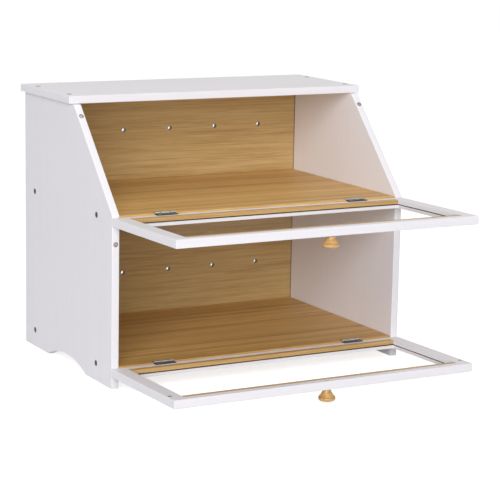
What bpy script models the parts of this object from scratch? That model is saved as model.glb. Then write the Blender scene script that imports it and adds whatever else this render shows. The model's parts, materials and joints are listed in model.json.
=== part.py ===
"""Two-tier bread box of bamboo boards with two glazed drop-front doors.

The side panels, the top board and the door frames are painted. The shelves, the back panel, the
glazing beads and the turned knobs are natural bamboo or wood. Each door hangs on two small butt
hinges at the front edge of its shelf, swings down to open, and is held shut by magnets.

Lengths are in metres, +X to the right, +Y to the back, +Z up. The origin is on the ground, below
the middle of the box that holds the part with both doors open. The doors are modelled open.
"""
import math

import bmesh
import bpy
from mathutils import Matrix, Vector

# Cabinet
SIDE_TO_SIDE = 0.372
HEIGHT = 0.311
DEPTH = 0.247
BOARD = 0.009
SLANT = math.radians(43.5)
END_OVERHANG = 0.004
BACK_OVERHANG = 0.004
LOWER_SHELF_TOP = 0.025
FOOT_SPAN = 0.110
FOOT_RISE = 0.012
EDGE_RADIUS = 0.001
SHELF_EDGE_RADIUS = 0.0005

# Back panel and its air holes
BACK_BOARD = 0.005
BACK_INSET = 0.0095
GROOVE_DEPTH = 0.004
VENT_COUNT = 5
VENT_PITCH = 0.062
VENT_RADIUS = 0.0024
UPPER_VENT_RISE = 0.060
LOWER_VENT_RISE = 0.051

# Doors
DOOR_BOARD = 0.0095
MEMBER_WIDTH = 0.016
REST_TILT = math.radians(1.0)
CLOSED_GAP = 0.0005
DOOR_CLEARANCE = 0.0008
TOP_ABOVE_DOOR = 0.0054
LIP = 0.0035
PANE = 0.001
PANE_SEAT = 0.0045
BEAD_WIDTH = 0.0062
BEAD_RADIUS = 0.0009
TENON_LENGTH = 0.009
TENON_WIDTH = 0.005
TENON_THICKNESS = 0.003

# Hinges
HINGE_FROM_SIDE = 0.064
HINGE_LENGTH = 0.025
KNUCKLE_RADIUS = 0.0014
# The knuckles' ends, as shares of the hinge's length
KNUCKLE_SHARES = (0.0, 0.25, 0.75, 1.0)
LEAF_THICKNESS = 0.0008
LEAF_WIDTH = 0.007
PIN_RADIUS = 0.0007
PIN_CLEARANCE = 0.0001
LEAF_SCREW_FROM_MIDDLE = 0.0085
LEAF_SCREW_FROM_AXIS = 0.0045
LEAF_SCREW_HEAD = 0.0016
LEAF_SCREW_SHANK = 0.0008
LEAF_SCREW_LENGTH = 0.006

# Knobs and their screws
KNOB_INSET = 0.0065
KNOB_LENGTH = 0.0137
KNOB_NECK = 0.0044
KNOB_SHOULDER = 0.0089
KNOB_RIM = 0.0094
KNOB_GROOVE = 0.0005
KNOB_LENGTH_SHARES = {"shoulder": 0.59, "rim": 0.63, "dome": 0.79}
KNOB_FLARE_POWER = 1.8
KNOB_SCREW_HEAD = 0.0023
KNOB_SCREW_SHANK = 0.0014
KNOB_SCREW_LENGTH = 0.018

# Cabinet screws
SCREW_HEAD = 0.0030
SCREW_SHANK = 0.0016
SCREW_LENGTH = 0.030
SCREW_SINK = 0.0006
SCREW_FROM_FRONT = 0.041
SCREW_FROM_BACK = 0.030
TOP_SCREW_FROM_SLANT = 0.023
SLOT_WIDTH = 0.0008

# Magnets in the side panels and the steel discs that they hold
UPPER_MAGNET_FROM_TIP = 0.0212
LOWER_MAGNET_FROM_TIP = 0.019
MAGNET_RADIUS = 0.0025
MAGNET_LENGTH = 0.006
MAGNET_SINK = 0.0004
STRIKE_LENGTH = 0.0015
STRIKE_SINK = 0.0001

# Clearances, and how far a cutter runs past what it cuts
GAP = 0.0003
OVERRUN = 0.002

# Facets of round pieces
SMALL_STEPS = 12
KNOB_STEPS = 24
PROFILE_STEPS = 6
ARCH_STEPS = 14
FILLET_STEPS = 3

# What follows from the sizes above
inner_x = SIDE_TO_SIDE / 2 - BOARD
panel_middle_x = SIDE_TO_SIDE / 2 - BOARD / 2
top_underside = HEIGHT - BOARD
back_front = DEPTH - BACK_INSET
face_drop = KNUCKLE_RADIUS + GAP
axis_inset = face_drop - CLOSED_GAP
heel = axis_inset + GAP

# Both doors are alike. Shut, the lower one ends below the open upper one, and the upper one ends in
# front of the top board's edge, which sets the upper shelf's height.
above_tip = face_drop + DOOR_BOARD + DOOR_CLEARANCE
slant_rise = HEIGHT - TOP_ABOVE_DOOR - face_drop * math.sin(SLANT)
folded = (LOWER_SHELF_TOP + above_tip) * math.cos(SLANT)
upper_shelf_top = (slant_rise + folded) / (1 + math.cos(SLANT))
tip = upper_shelf_top - LOWER_SHELF_TOP - above_tip
slant_start = upper_shelf_top + axis_inset * math.tan(SLANT / 2)
side_top = top_underside - GAP
slant_end = (side_top - slant_start) * math.tan(SLANT)
top_front = axis_inset - face_drop * math.cos(SLANT) + tip * math.sin(SLANT) + CLOSED_GAP
outer_face = -face_drop - DOOR_BOARD
lip_top = outer_face + LIP
rail_solid = MEMBER_WIDTH - BEAD_WIDTH - GAP
frame_inner_x = SIDE_TO_SIDE / 2 - MEMBER_WIDTH
knob_from_axis = tip - KNOB_INSET
magnets_from_axis = {"upper": tip - UPPER_MAGNET_FROM_TIP, "lower": tip - LOWER_MAGNET_FROM_TIP}
hinge_from_middle = SIDE_TO_SIDE / 2 - HINGE_FROM_SIDE
shelf_tops = {"upper": upper_shelf_top, "lower": LOWER_SHELF_TOP}
sides = {"left": -1, "right": 1}


def start_empty_scene():
    for obj in list(bpy.data.objects):
        bpy.data.objects.remove(obj)


def material(name, colour, roughness, metallic=0.0, transmission=0.0):
    made = bpy.data.materials.new(name)
    made.use_nodes = True
    shader = made.node_tree.nodes["Principled BSDF"]
    shader.inputs["Base Color"].default_value = (*colour, 1.0)
    shader.inputs["Roughness"].default_value = roughness
    shader.inputs["Metallic"].default_value = metallic
    shader.inputs["Transmission Weight"].default_value = transmission
    return made


def frame_empty(name, location, parent=None, tilt=0.0):
    empty = bpy.data.objects.new(name, None)
    bpy.context.scene.collection.objects.link(empty)
    empty.location = location
    empty.rotation_euler = (tilt, 0.0, 0.0)
    empty.parent = parent
    return empty


def place(name, mesh, parent, finish=None, location=(0.0, 0.0, 0.0), rotation=(0.0, 0.0, 0.0)):
    obj = bpy.data.objects.new(name, mesh)
    bpy.context.scene.collection.objects.link(obj)
    obj.location = location
    obj.rotation_euler = rotation
    obj.parent = parent
    if finish is not None and not mesh.materials:
        mesh.materials.append(finish)
    return obj


def mesh_from(name, bm, smooth=False):
    bmesh.ops.recalc_face_normals(bm, faces=bm.faces)
    mesh = bpy.data.meshes.new(name)
    bm.to_mesh(mesh)
    bm.free()
    if smooth:
        mesh.shade_smooth()
        mesh.set_sharp_from_angle(angle=math.radians(35))
    return mesh


def guide(name, bm, parent, smooth=False):
    """A shape that only cuts or joins others, and is no piece itself."""
    obj = place(name, mesh_from(name, bm, smooth), parent)
    obj.hide_render = True
    obj.display_type = "WIRE"
    return obj


def boolean(target, tool, operation="DIFFERENCE"):
    step = target.modifiers.new(tool.name, "BOOLEAN")
    step.operation = operation
    step.object = tool
    step.solver = "EXACT"


def ease_edges(target, radius):
    step = target.modifiers.new("eased edges", "BEVEL")
    step.width = radius
    step.segments = 2
    step.limit_method = "ANGLE"
    step.angle_limit = math.radians(40)
    target.modifiers.new("flat faces", "TRIANGULATE")


def add_box(bm, low, high):
    low, high = Vector(low), Vector(high)
    for vert in bmesh.ops.create_cube(bm, size=1.0)["verts"]:
        shares = vert.co + Vector((0.5, 0.5, 0.5))
        vert.co = [a + share * (b - a) for a, b, share in zip(low, high, shares)]


def box_between(low, high):
    bm = bmesh.new()
    add_box(bm, low, high)
    return bm


def add_sweep(bm, outline, start, end, along="X"):
    """An outline swept straight: its points give the two coordinates that it isn't swept along."""
    order = {"X": (2, 0, 1), "Y": (0, 2, 1), "Z": (0, 1, 2)}[along]
    near, far = [], []
    for ring, at in ((near, start), (far, end)):
        for u, v in outline:
            values = (u, v, at)
            ring.append(bm.verts.new([values[i] for i in order]))
    bm.faces.new(near)
    bm.faces.new(list(reversed(far)))
    for i in range(len(outline)):
        bm.faces.new((near[i - 1], near[i], far[i], far[i - 1]))


def add_turned(bm, profile, where=None, steps=SMALL_STEPS):
    """(radius, height) points from axis to axis, turned about Z and put where the matrix says."""
    where = where or Matrix()
    rings = []
    for radius, height in profile:
        count = steps if radius else 1
        angles = [2 * math.pi * i / steps for i in range(count)]
        corners = [Vector((radius * math.cos(a), radius * math.sin(a), height)) for a in angles]
        rings.append([bm.verts.new(where @ corner) for corner in corners])
    for low, high in zip(rings, rings[1:]):
        for i in range(steps):
            j = (i + 1) % steps
            corners = [low[i % len(low)], low[j % len(low)], high[j % len(high)], high[i % len(high)]]
            bm.faces.new(list(dict.fromkeys(corners)))


def rounded(outline, radii):
    """The outline with an arc in place of each corner whose radius isn't zero."""
    points = []
    for i, (corner, radius) in enumerate(zip(outline, radii)):
        here = Vector(corner)
        if not radius:
            points.append(here)
            continue
        back = (Vector(outline[i - 1]) - here).normalized()
        ahead = (Vector(outline[(i + 1) % len(outline)]) - here).normalized()
        half = back.angle(ahead) / 2
        centre = here + (back + ahead).normalized() * radius / math.sin(half)
        first = here + back * radius / math.tan(half) - centre
        last = here + ahead * radius / math.tan(half) - centre
        turn = first.angle_signed(last)
        for k in range(FILLET_STEPS + 1):
            points.append(centre + Matrix.Rotation(-turn * k / FILLET_STEPS, 2) @ first)
    return [tuple(point) for point in points]


def screw_profile(head, shank, length, grow=0.0, above=0.0):
    """A countersunk screw from its head at height 0 down; grow and above make its bore."""
    rim = head / 6
    cone = head - shank
    point = 2 * shank
    ends = [(head + grow, above), (head + grow, -rim), (shank + grow, -rim - cone)]
    if grow:
        ends += [(shank + grow, -length - grow)]
    else:
        ends += [(shank, point - length), (shank / 4, -length)]
    return [(0.0, ends[0][1]), *ends, (0.0, ends[-1][1])]


def screw_mesh(name, head, shank, length, finish):
    """A screw with a cross slot sunk in its head."""
    bm = bmesh.new()
    add_turned(bm, screw_profile(head, shank, length))
    screw = place(name, mesh_from(name, bm, smooth=True), None, finish)
    arm, half = head * 2 / 3, SLOT_WIDTH / 2
    quarter = [(arm, -half), (arm, half), (half, half)]
    cross = bmesh.new()
    corners = [Matrix.Rotation(math.pi / 2 * i, 2) @ Vector(p) for i in range(4) for p in quarter]
    add_sweep(cross, corners, -head / 2, head, along="Z")
    slot = guide(name + "_slot", cross, None)
    boolean(screw, slot)
    evaluated = screw.evaluated_get(bpy.context.evaluated_depsgraph_get())
    cut = bpy.data.meshes.new_from_object(evaluated)
    bpy.data.objects.remove(screw)
    bpy.data.objects.remove(slot)
    return cut


def disc_profile(radius, length):
    """A short cylinder with its top at height 0 and a small chamfer there."""
    chamfer = radius / 8
    return [(0.0, 0.0), (radius - chamfer, 0.0), (radius, -chamfer), (radius, -length), (0.0, -length)]


def bore_profile(radius, depth):
    return [(0.0, OVERRUN), (radius, OVERRUN), (radius, -depth), (0.0, -depth)]


def towards(x=0.0, y=0.0, z=0.0):
    """The rotation that points a piece's +Z the way given."""
    return Vector((x, y, z)).to_track_quat("Z", "Y").to_euler()


# Places that screws, magnets and hinges share with the holes made for them

def side_screw_places(side):
    """Through a side panel into the ends of both shelves."""
    x = sides[side] * (SIDE_TO_SIDE / 2 - SCREW_SINK)
    rotation = towards(x=sides[side])
    for tier, shelf_top in shelf_tops.items():
        for end, y in {"front": SCREW_FROM_FRONT, "back": DEPTH - SCREW_FROM_BACK}.items():
            yield f"{side}_{tier}_{end}_screw", (x, y, shelf_top - BOARD / 2), rotation


def top_screw_places():
    """Through the top board into the top edges of the side panels."""
    for side, way in sides.items():
        ys = {"front": slant_end + TOP_SCREW_FROM_SLANT, "back": DEPTH - SCREW_FROM_BACK}
        for end, y in ys.items():
            spot = (way * panel_middle_x, y, HEIGHT - SCREW_SINK)
            yield f"top_{side}_{end}_screw", spot, towards(z=1.0)


def magnet_places(side):
    """In a side panel's front edge: one square to its upright part, one to its slanted part."""
    x = sides[side] * panel_middle_x
    level = LOWER_SHELF_TOP + magnets_from_axis["lower"]
    yield f"lower_{side}_magnet", (x, MAGNET_SINK, level), towards(y=-1.0)
    outward = Vector((0.0, -math.cos(SLANT), math.sin(SLANT)))
    along = Vector((0.0, math.sin(SLANT), math.cos(SLANT)))
    axis = Vector((x, axis_inset, upper_shelf_top))
    edge = axis + along * magnets_from_axis["upper"]
    edge += outward * (face_drop - CLOSED_GAP - MAGNET_SINK)
    yield f"upper_{side}_magnet", edge, towards(*outward)


def bores(name, places, profile, parent):
    bm = bmesh.new()
    for _, point, rotation in places:
        add_turned(bm, profile, Matrix.Translation(point) @ rotation.to_matrix().to_4x4())
    return guide(name, bm, parent, smooth=True)


def leaf_screw_bores(name, y, z, parent):
    """Where both hinges' screws go into a shelf or a rail."""
    xs = [way * hinge_from_middle + offset for way in sides.values()
          for offset in (-LEAF_SCREW_FROM_MIDDLE, LEAF_SCREW_FROM_MIDDLE)]
    profile = bore_profile(LEAF_SCREW_SHANK + GAP, LEAF_SCREW_LENGTH)
    return bores(name, [("", (x, y, z), towards(z=1.0)) for x in xs], profile, parent)


# Cabinet boards

def side_outline():
    half = FOOT_SPAN / 2
    radius = (half**2 + FOOT_RISE**2) / (2 * FOOT_RISE)
    spread = math.asin(half / radius)
    arch = []
    for k in range(ARCH_STEPS + 1):
        angle = spread * (2 * k / ARCH_STEPS - 1)
        arch.append((DEPTH / 2 + radius * math.sin(angle), FOOT_RISE - radius + radius * math.cos(angle)))
    return [(0.0, 0.0), *arch, (DEPTH, 0.0), (DEPTH, side_top), (slant_end, side_top), (0.0, slant_start)]


def make_side_panel(side, paint, cabinet, cutters):
    ends = sorted((sides[side] * inner_x, sides[side] * SIDE_TO_SIDE / 2))
    bm = bmesh.new()
    add_sweep(bm, side_outline(), *ends)
    panel = place(f"side_panel_{side}", mesh_from(f"side_panel_{side}", bm), cabinet, paint)
    ease_edges(panel, EDGE_RADIUS)
    for cutter in cutters:
        boolean(panel, cutter)


def make_top_board(paint, cabinet, screw_bores):
    half = SIDE_TO_SIDE / 2 + END_OVERHANG
    low = (-half, top_front, top_underside)
    high = (half, DEPTH + BACK_OVERHANG, HEIGHT)
    board = place("top_board", mesh_from("top_board", box_between(low, high)), cabinet, paint)
    ease_edges(board, EDGE_RADIUS)
    groove_low = (-half - OVERRUN, back_front - GAP, top_underside - OVERRUN)
    groove_high = (half + OVERRUN, back_front + BACK_BOARD + GAP, top_underside + GROOVE_DEPTH)
    boolean(board, guide("top_groove", box_between(groove_low, groove_high), cabinet))
    boolean(board, screw_bores)


def make_back_panel(bamboo, cabinet):
    half = inner_x + GROOVE_DEPTH - GAP
    low = (-half, back_front, LOWER_SHELF_TOP - BOARD)
    high = (half, back_front + BACK_BOARD, top_underside + GROOVE_DEPTH - GAP)
    panel = place("back_panel", mesh_from("back_panel", box_between(low, high)), cabinet, bamboo)
    heights = (upper_shelf_top + UPPER_VENT_RISE, LOWER_SHELF_TOP + LOWER_VENT_RISE)
    profile = bore_profile(VENT_RADIUS, BACK_BOARD + OVERRUN)
    first = -VENT_PITCH * (VENT_COUNT - 1) / 2
    xs = [first + VENT_PITCH * i for i in range(VENT_COUNT)]
    places = [("", (x, back_front, z), towards(y=-1.0)) for z in heights for x in xs]
    boolean(panel, bores("vent_holes", places, profile, cabinet))


def back_groove(cabinet):
    """The groove in both side panels that the back panel slides down into."""
    half = inner_x + GROOVE_DEPTH
    low = (-half, back_front - GAP, LOWER_SHELF_TOP - BOARD - GAP)
    high = (half, back_front + BACK_BOARD + GAP, side_top + OVERRUN)
    return guide("back_groove", box_between(low, high), cabinet)


def make_shelf(tier, bamboo, cabinet, screw_bores):
    top = shelf_tops[tier]
    half = inner_x - GAP
    name = f"{tier}_shelf"
    bm = box_between((-half, 0.0, top - BOARD), (half, back_front - GAP, top))
    shelf = place(name, mesh_from(name, bm), cabinet, bamboo)
    ease_edges(shelf, SHELF_EDGE_RADIUS)
    recesses = bmesh.new()
    reach = HINGE_LENGTH / 2 + GAP
    for way in sides.values():
        middle = way * hinge_from_middle
        low = (middle - reach, -OVERRUN, top - face_drop)
        high = (middle + reach, axis_inset + LEAF_WIDTH + GAP, top + OVERRUN)
        add_box(recesses, low, high)
    leaf_y = axis_inset + LEAF_SCREW_FROM_AXIS
    leaf_bores = leaf_screw_bores(f"{name}_leaf_bores", leaf_y, top - face_drop, cabinet)
    boolean(shelf, guide(f"{tier}_hinge_recesses", recesses, cabinet))
    for cutter in (leaf_bores, *screw_bores):
        boolean(shelf, cutter)


# Hinges

def knuckle_outline(way):
    """Barrel and tail of one knuckle, about the axis, with its leaf towards +Y or -Y."""
    leaf_top = LEAF_THICKNESS - KNUCKLE_RADIUS
    meets = math.asin(leaf_top / KNUCKLE_RADIUS)
    bottom = 1.5 * math.pi
    barrel = []
    for k in range(SMALL_STEPS + 1):
        angle = meets + (bottom - meets) * k / SMALL_STEPS
        barrel.append((way * KNUCKLE_RADIUS * math.cos(angle), KNUCKLE_RADIUS * math.sin(angle)))
    tail = KNUCKLE_RADIUS + GAP + LEAF_THICKNESS
    return barrel + [(way * tail, -KNUCKLE_RADIUS), (way * tail, leaf_top)]


def make_leaf(name, way, first_knuckle, middle_x, steel, parent):
    """One hinge leaf with its knuckles and its two screws, about its parent's axis."""
    leaf_top = LEAF_THICKNESS - KNUCKLE_RADIUS
    half = HINGE_LENGTH / 2
    near, far = sorted((way * (KNUCKLE_RADIUS + GAP), way * LEAF_WIDTH))
    bm = box_between((-half, near, -KNUCKLE_RADIUS), (half, far, leaf_top))
    leaf = place(name, mesh_from(name, bm), parent, steel, (middle_x, 0.0, 0.0))
    meets = [share * (HINGE_LENGTH + GAP) - half for share in KNUCKLE_SHARES]
    knuckles = bmesh.new()
    for k in range(first_knuckle, len(meets) - 1, 2):
        add_sweep(knuckles, knuckle_outline(way), meets[k], meets[k + 1] - GAP)
    screws = bmesh.new()
    dome, rim = LEAF_SCREW_HEAD / 4, LEAF_SCREW_HEAD / 12
    profile = [(0.0, dome), (LEAF_SCREW_HEAD * 2 / 3, dome - rim), (LEAF_SCREW_HEAD, rim)]
    profile += [(LEAF_SCREW_HEAD, -rim), (LEAF_SCREW_SHANK, -LEAF_THICKNESS / 2)]
    profile += [(LEAF_SCREW_SHANK, -LEAF_SCREW_LENGTH), (0.0, -LEAF_SCREW_LENGTH)]
    for x in (-LEAF_SCREW_FROM_MIDDLE, LEAF_SCREW_FROM_MIDDLE):
        add_turned(screws, profile, Matrix.Translation((x, way * LEAF_SCREW_FROM_AXIS, leaf_top)))
    bore = bmesh.new()
    radius = PIN_RADIUS + PIN_CLEARANCE
    end = half + OVERRUN
    profile = [(0.0, -end), (radius, -end), (radius, end), (0.0, end)]
    add_turned(bore, profile, towards(x=1.0).to_matrix().to_4x4())
    boolean(leaf, guide(f"{name}_knuckles", knuckles, leaf, smooth=True), "UNION")
    boolean(leaf, guide(f"{name}_screws", screws, leaf, smooth=True), "UNION")
    boolean(leaf, guide(f"{name}_bore", bore, leaf, smooth=True))


def make_pin(name, middle_x, steel, parent):
    half = HINGE_LENGTH / 2
    bm = bmesh.new()
    add_turned(bm, [(0.0, -half), (PIN_RADIUS, -half), (PIN_RADIUS, half), (0.0, half)])
    mesh = mesh_from(name, bm, smooth=True)
    place(name, mesh, parent, steel, (middle_x, 0.0, 0.0), towards(x=1.0))


def make_hinges(tier, steel, axis, door):
    for side, way in sides.items():
        middle = way * hinge_from_middle
        make_leaf(f"{tier}_{side}_hinge_shelf_leaf", 1, 0, middle, steel, axis)
        make_pin(f"{tier}_{side}_hinge_pin", middle, steel, axis)
        make_leaf(f"{tier}_{side}_hinge_door_leaf", -1, 1, middle, steel, door)


# Doors, each in its own frame: the hinge axis is X, the door lies towards -Y, its inner face is up

def rail_outline(outer, inward):
    """Section of a rail: solid at its outer edge, with a lip below the pane and the bead."""
    seam = outer + inward * rail_solid
    inner = outer + inward * MEMBER_WIDTH
    corners = [(outer, -face_drop), (seam, -face_drop), (seam, lip_top)]
    corners += [(inner, lip_top), (inner, outer_face), (outer, outer_face)]
    return rounded(corners, (EDGE_RADIUS, 0, 0, 0, 0, EDGE_RADIUS))


def tenons(name, outer, inward, door):
    """Both stub tenons of a rail, which also say where the stiles' mortises go."""
    bm = bmesh.new()
    middle_y = outer + inward * rail_solid / 2
    middle_z = outer_face + DOOR_BOARD / 2
    root = frame_inner_x - GAP - TENON_LENGTH
    for way in sides.values():
        ends = sorted((way * root, way * (frame_inner_x + TENON_LENGTH)))
        low = (ends[0], middle_y - TENON_WIDTH / 2, middle_z - TENON_THICKNESS / 2)
        high = (ends[1], middle_y + TENON_WIDTH / 2, middle_z + TENON_THICKNESS / 2)
        add_box(bm, low, high)
    return guide(name, bm, door)


def mortises(name, outer, inward, door):
    bm = bmesh.new()
    middle_y = outer + inward * rail_solid / 2
    middle_z = outer_face + DOOR_BOARD / 2
    deep, wide, thick = TENON_LENGTH + GAP, TENON_WIDTH / 2 + GAP, TENON_THICKNESS / 2 + GAP
    for way in sides.values():
        ends = sorted((way * (frame_inner_x - OVERRUN), way * (frame_inner_x + deep)))
        add_box(bm, (ends[0], middle_y - wide, middle_z - thick), (ends[1], middle_y + wide, middle_z + thick))
    return guide(name, bm, door)


def make_rail(name, outer, inward, paint, door, cutters):
    half = frame_inner_x - GAP
    bm = bmesh.new()
    add_sweep(bm, rail_outline(outer, inward), -half, half)
    rail = place(name, mesh_from(name, bm), door, paint)
    boolean(rail, tenons(name + "_tenons", outer, inward, door), "UNION")
    for cutter in cutters:
        boolean(rail, cutter)


def make_stile(name, side, paint, door, cutters):
    way = sides[side]
    outer, inner = way * SIDE_TO_SIDE / 2, way * frame_inner_x
    corners = [(outer, -face_drop), (inner, -face_drop), (inner, outer_face), (outer, outer_face)]
    bm = bmesh.new()
    add_sweep(bm, rounded(corners, (EDGE_RADIUS, 0, 0, EDGE_RADIUS)), -tip, -heel, along="Y")
    stile = place(name, mesh_from(name, bm), door, paint)
    for cutter in cutters:
        boolean(stile, cutter)


def make_bead(name, outer, inward, bamboo, door):
    """A natural bamboo strip that holds the pane down along a rail."""
    seam = outer + inward * (rail_solid + GAP)
    inner = outer + inward * MEMBER_WIDTH
    low = lip_top + PANE + 2 * GAP
    corners = [(seam, -face_drop), (inner, -face_drop), (inner, low), (seam, low)]
    half = frame_inner_x - GAP
    bm = bmesh.new()
    add_sweep(bm, rounded(corners, (0, BEAD_RADIUS, 0, 0)), -half, half)
    place(name, mesh_from(name, bm), door, bamboo)


def make_pane(name, clear, door):
    half = frame_inner_x + PANE_SEAT
    low = (-half, -tip + rail_solid + GAP, lip_top + GAP)
    high = (half, -heel - rail_solid - GAP, lip_top + GAP + PANE)
    place(name, mesh_from(name, box_between(low, high)), door, clear)


def pane_groove(name, door):
    half = frame_inner_x + PANE_SEAT + GAP
    low = (-half, -tip + rail_solid, lip_top)
    high = (half, -heel - rail_solid, lip_top + PANE + 2 * GAP)
    return guide(name, box_between(low, high), door)


def knob_profile():
    """A bell-shaped knob from its neck at the door down to its domed end."""
    shoulder, rim, dome = (KNOB_LENGTH * share for share in KNOB_LENGTH_SHARES.values())
    points = [(0.0, 0.0), (KNOB_NECK, 0.0)]
    for k in range(1, PROFILE_STEPS + 1):
        share = k / PROFILE_STEPS
        flare = (KNOB_SHOULDER - KNOB_NECK) * share**KNOB_FLARE_POWER
        points.append((KNOB_NECK + flare, -shoulder * share))
    points += [(KNOB_SHOULDER - KNOB_GROOVE, -(shoulder + rim) / 2), (KNOB_RIM, -rim)]
    for k in range(PROFILE_STEPS):
        angle = math.pi / 2 * k / PROFILE_STEPS
        points.append((KNOB_RIM * math.cos(angle), -dome - (KNOB_LENGTH - dome) * math.sin(angle)))
    return points + [(0.0, -KNOB_LENGTH)]


def make_knob(name, wood, door, screw_bore):
    bm = bmesh.new()
    add_turned(bm, knob_profile(), steps=KNOB_STEPS)
    spot = (0.0, -knob_from_axis, outer_face - GAP)
    knob = place(name, mesh_from(name, bm, smooth=True), door, wood, spot)
    boolean(knob, screw_bore)


def strike_place(tier, side):
    spot = (sides[side] * panel_middle_x, -magnets_from_axis[tier], -face_drop - STRIKE_SINK)
    return f"{side}_strike", spot, towards(z=1.0)


def make_door(tier, finishes, door, knob_screw, strike):
    name = f"{tier}_door"
    leaf_bores = leaf_screw_bores(f"{name}_leaf_bores", -LEAF_SCREW_FROM_AXIS, -face_drop, door)
    knob_place = ("knob_screw", (0.0, -knob_from_axis, -face_drop - SCREW_SINK), towards(z=1.0))
    knob_hole = screw_profile(KNOB_SCREW_HEAD, KNOB_SCREW_SHANK, KNOB_SCREW_LENGTH, GAP, OVERRUN)
    knob_bore = bores(f"{name}_knob_bore", [knob_place], knob_hole, door)
    make_rail(f"{name}_hinge_rail", -heel, -1, finishes["paint"], door, [leaf_bores])
    make_rail(f"{name}_top_rail", -tip, 1, finishes["paint"], door, [knob_bore])
    sockets = [
        pane_groove(f"{name}_pane_groove", door),
        mortises(f"{name}_hinge_rail_mortises", -heel, -1, door),
        mortises(f"{name}_top_rail_mortises", -tip, 1, door),
    ]
    strike_hole = bore_profile(MAGNET_RADIUS + GAP / 2, STRIKE_LENGTH + GAP)
    for side in sides:
        label, spot, _ = strike_place(tier, side)
        hole = bores(f"{name}_{label}_bore", [strike_place(tier, side)], strike_hole, door)
        make_stile(f"{name}_{side}_stile", side, finishes["paint"], door, [*sockets, hole])
        place(f"{name}_{label}", strike, door, finishes["steel"], spot)
    make_pane(f"{name}_pane", finishes["clear"], door)
    make_bead(f"{name}_hinge_bead", -heel, -1, finishes["bamboo"], door)
    make_bead(f"{name}_top_bead", -tip, 1, finishes["bamboo"], door)
    make_knob(f"{name}_knob", finishes["knob wood"], door, knob_bore)
    place(f"{name}_knob_screw", knob_screw, door, finishes["steel"], knob_place[1])


def make_finishes():
    return {
        "paint": material("white paint", (0.86, 0.85, 0.84), 0.45),
        "bamboo": material("natural bamboo", (0.66, 0.42, 0.19), 0.50),
        "knob wood": material("turned wood", (0.74, 0.47, 0.20), 0.45),
        "clear": material("clear acrylic", (0.95, 0.97, 0.97), 0.05, 0.0, 1.0),
        "steel": material("nickel plate", (0.62, 0.61, 0.59), 0.28, 1.0),
        "screw": material("zinc plate", (0.55, 0.50, 0.40), 0.35, 1.0),
    }


def front_plane_y():
    """Where the cabinet's front goes, so that the origin is in the middle of the open part."""
    reaches = []
    for radius, height in knob_profile():
        out = (knob_from_axis + radius) * math.cos(REST_TILT)
        reaches.append(out + (GAP - outer_face - height) * math.sin(REST_TILT))
    return (max(reaches) - axis_inset - DEPTH - BACK_OVERHANG) / 2


def make_bread_box():
    start_empty_scene()
    finishes = make_finishes()
    cabinet = frame_empty("cabinet", (0.0, front_plane_y(), 0.0))
    screw_hole = screw_profile(SCREW_HEAD, SCREW_SHANK, SCREW_LENGTH, GAP, OVERRUN)
    magnet_hole = bore_profile(MAGNET_RADIUS + GAP / 2, MAGNET_LENGTH + GAP)
    top_bores = bores("top_screw_bores", top_screw_places(), screw_hole, cabinet)
    groove = back_groove(cabinet)
    side_bores = []
    for side in sides:
        screw_bores = bores(f"{side}_screw_bores", side_screw_places(side), screw_hole, cabinet)
        magnet_bores = bores(f"{side}_magnet_bores", magnet_places(side), magnet_hole, cabinet)
        cutters = [groove, screw_bores, top_bores, magnet_bores]
        make_side_panel(side, finishes["paint"], cabinet, cutters)
        side_bores.append(screw_bores)
    make_top_board(finishes["paint"], cabinet, top_bores)
    make_back_panel(finishes["bamboo"], cabinet)
    for tier in shelf_tops:
        make_shelf(tier, finishes["bamboo"], cabinet, side_bores)

    screw = screw_mesh("cabinet_screw", SCREW_HEAD, SCREW_SHANK, SCREW_LENGTH, finishes["screw"])
    knob_screw_sizes = (KNOB_SCREW_HEAD, KNOB_SCREW_SHANK, KNOB_SCREW_LENGTH)
    knob_screw = screw_mesh("knob_screw", *knob_screw_sizes, finishes["screw"])
    for places in (side_screw_places("left"), side_screw_places("right"), top_screw_places()):
        for name, spot, rotation in places:
            place(name, screw, cabinet, finishes["screw"], spot, rotation)

    magnet_bm, strike_bm = bmesh.new(), bmesh.new()
    add_turned(magnet_bm, disc_profile(MAGNET_RADIUS, MAGNET_LENGTH))
    add_turned(strike_bm, disc_profile(MAGNET_RADIUS, STRIKE_LENGTH))
    magnet = mesh_from("magnet", magnet_bm, smooth=True)
    strike = mesh_from("strike", strike_bm, smooth=True)
    for side in sides:
        for name, spot, rotation in magnet_places(side):
            place(name, magnet, cabinet, finishes["steel"], spot, rotation)

    for tier, shelf_top in shelf_tops.items():
        spot = (0.0, axis_inset, shelf_top)
        axis = frame_empty(f"{tier}_hinge_axis", spot, cabinet)
        door = frame_empty(f"{tier}_door_frame", spot, cabinet, -REST_TILT)
        make_hinges(tier, finishes["steel"], axis, door)
        make_door(tier, finishes, door, knob_screw, strike)


make_bread_box()
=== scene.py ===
"""Looks of the two-tier bread box: finishes, fine hardware, seamless door frames, light and camera."""
import json
import math

import bmesh
import bpy
from mathutils import Matrix, Vector

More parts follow.
